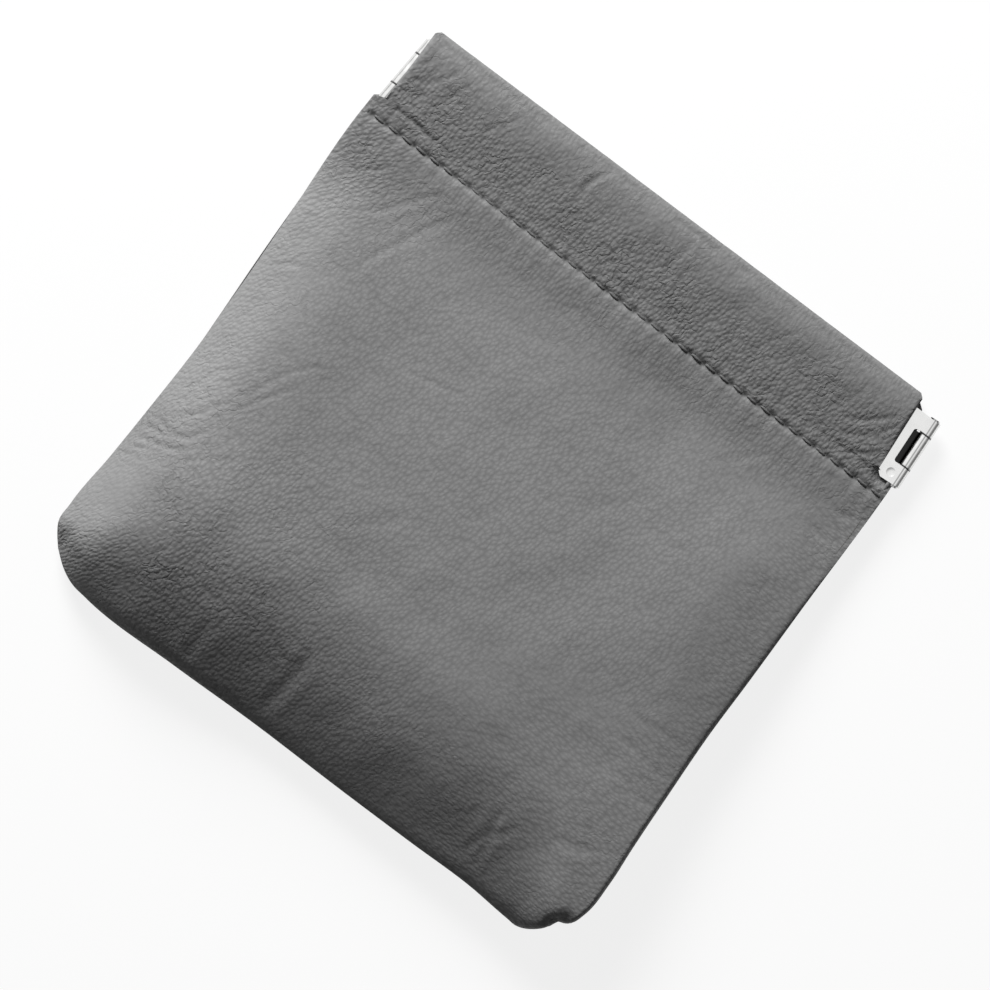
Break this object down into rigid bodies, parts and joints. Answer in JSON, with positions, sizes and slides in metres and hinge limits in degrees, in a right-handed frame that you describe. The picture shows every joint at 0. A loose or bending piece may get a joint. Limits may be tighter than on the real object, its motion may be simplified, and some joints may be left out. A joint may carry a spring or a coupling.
{
  "type": "squeeze coin purse",
  "caption": "Flat square coin purse of grained leather with a stitched channel over a hinged spring frame that opens when its ends are squeezed.",
  "frame": {"origin": "the middle of the purse's outline, seen from the front, on the surface that it lies on", "axes": "+X along the mouth to the right, +Y from the bottom fold to the mouth, +Z out of the front face"},
  "size_m": [0.0886, 0.09, 0.0105],
  "materials": {
    "leather": "soft pebbled grain with a low sheen",
    "nickel_steel": "bright nickel plate",
    "nickel_pin": "drawn and nickel plated",
    "thread": "twisted sewing thread"
  },
  "bodies": {
    "root": {"back_panel": "leather", "back_channel_middle": "leather", "back_strip_middle": "nickel_steel", "back_stitching_middle": "thread", "left_side_seam": "leather", "right_side_seam": "leather", "left_seam_thread": "thread", "right_seam_thread": "thread"},
    "front_panel": {"front_panel": "leather"},
    "back_left_end": {"back_strip_left_end": "nickel_steel", "back_channel_left_end": "leather", "back_stitching_left_end": "thread", "left_hinge_pin": "nickel_pin"},
    "back_left": {"back_strip_left": "nickel_steel", "back_channel_left": "leather", "back_stitching_left": "thread"},
    "back_right": {"back_strip_right": "nickel_steel", "back_channel_right": "leather", "back_stitching_right": "thread"},
    "back_right_end": {"back_strip_right_end": "nickel_steel", "back_channel_right_end": "leather", "back_stitching_right_end": "thread"},
    "front_left_end": {"front_strip_left_end": "nickel_steel", "front_channel_left_end": "leather", "front_stitching_left_end": "thread"},
    "front_left": {"front_strip_left": "nickel_steel", "front_channel_left": "leather", "front_stitching_left": "thread"},
    "front_middle": {"front_strip_middle": "nickel_steel", "front_channel_middle": "leather", "front_stitching_middle": "thread"},
    "front_right": {"front_strip_right": "nickel_steel", "front_channel_right": "leather", "front_stitching_right": "thread"},
    "front_right_end": {"front_strip_right_end": "nickel_steel", "front_channel_right_end": "leather", "front_stitching_right_end": "thread", "right_hinge_pin": "nickel_pin"}
  },
  "joints": [
    {"name": "mouth_opening", "type": "hinge", "parent": "back_left_end", "child": "front_left_end", "pos_m": [-0.04286, 0.03795, 0.0022], "axis": [-0.061, -0.9981, 0], "range_deg": [0, 88], "stiffness_Nm_per_rad": 0.01, "springref_deg": -8.59},
    {"name": "back_left_bend", "type": "hinge", "parent": "root", "child": "back_left", "pos_m": [-0.01236, 0.03795, 0.00145], "axis": [0.061, 0.9981, 0], "range_deg": [0, 22]},
    {"name": "back_left_end_bend", "type": "hinge", "parent": "back_left", "child": "back_left_end", "pos_m": [-0.02634, 0.03795, 0.00145], "axis": [0.061, 0.9981, 0], "range_deg": [0, 22]},
    {"name": "back_right_bend", "type": "hinge", "parent": "root", "child": "back_right", "pos_m": [0.01236, 0.03795, 0.00145], "axis": [0.061, -0.9981, 0], "range_deg": [0, 22]},
    {"name": "back_right_end_bend", "type": "hinge", "parent": "back_right", "child": "back_right_end", "pos_m": [0.02634, 0.03795, 0.00145], "axis": [0.061, -0.9981, 0], "range_deg": [0, 22]},
    {"name": "front_left_end_bend", "type": "hinge", "parent": "front_left_end", "child": "front_left", "pos_m": [-0.02634, 0.03795, 0.00295], "axis": [0.061, 0.9981, 0], "range_deg": [0, 22]},
    {"name": "front_left_bend", "type": "hinge", "parent": "front_left", "child": "front_middle", "pos_m": [-0.01236, 0.03795, 0.00295], "axis": [0.061, 0.9981, 0], "range_deg": [0, 22]},
    {"name": "front_right_bend", "type": "hinge", "parent": "front_middle", "child": "front_right", "pos_m": [0.01236, 0.03795, 0.00295], "axis": [-0.061, 0.9981, 0], "range_deg": [0, 22]},
    {"name": "front_right_end_bend", "type": "hinge", "parent": "front_right", "child": "front_right_end", "pos_m": [0.02634, 0.03795, 0.00295], "axis": [-0.061, 0.9981, 0], "range_deg": [0, 22]},
    {"name": "front_panel_swing", "type": "hinge", "parent": "root", "child": "front_panel", "pos_m": [0, -0.045, 0.0022], "axis": [1, 0, 0], "range_deg": [0, 26.4]}
  ],
  "couplings": [
    {"joint": "back_left_bend", "follows": "mouth_opening", "ratio": 0.25},
    {"joint": "back_left_end_bend", "follows": "mouth_opening", "ratio": 0.25},
    {"joint": "back_right_bend", "follows": "mouth_opening", "ratio": 0.25},
    {"joint": "back_right_end_bend", "follows": "mouth_opening", "ratio": 0.25},
    {"joint": "front_left_end_bend", "follows": "mouth_opening", "ratio": 0.25},
    {"joint": "front_left_bend", "follows": "mouth_opening", "ratio": 0.25},
    {"joint": "front_right_bend", "follows": "mouth_opening", "ratio": 0.25},
    {"joint": "front_right_end_bend", "follows": "mouth_opening", "ratio": 0.25},
    {"joint": "front_panel_swing", "follows": "mouth_opening", "ratio": 0.3}
  ]
}
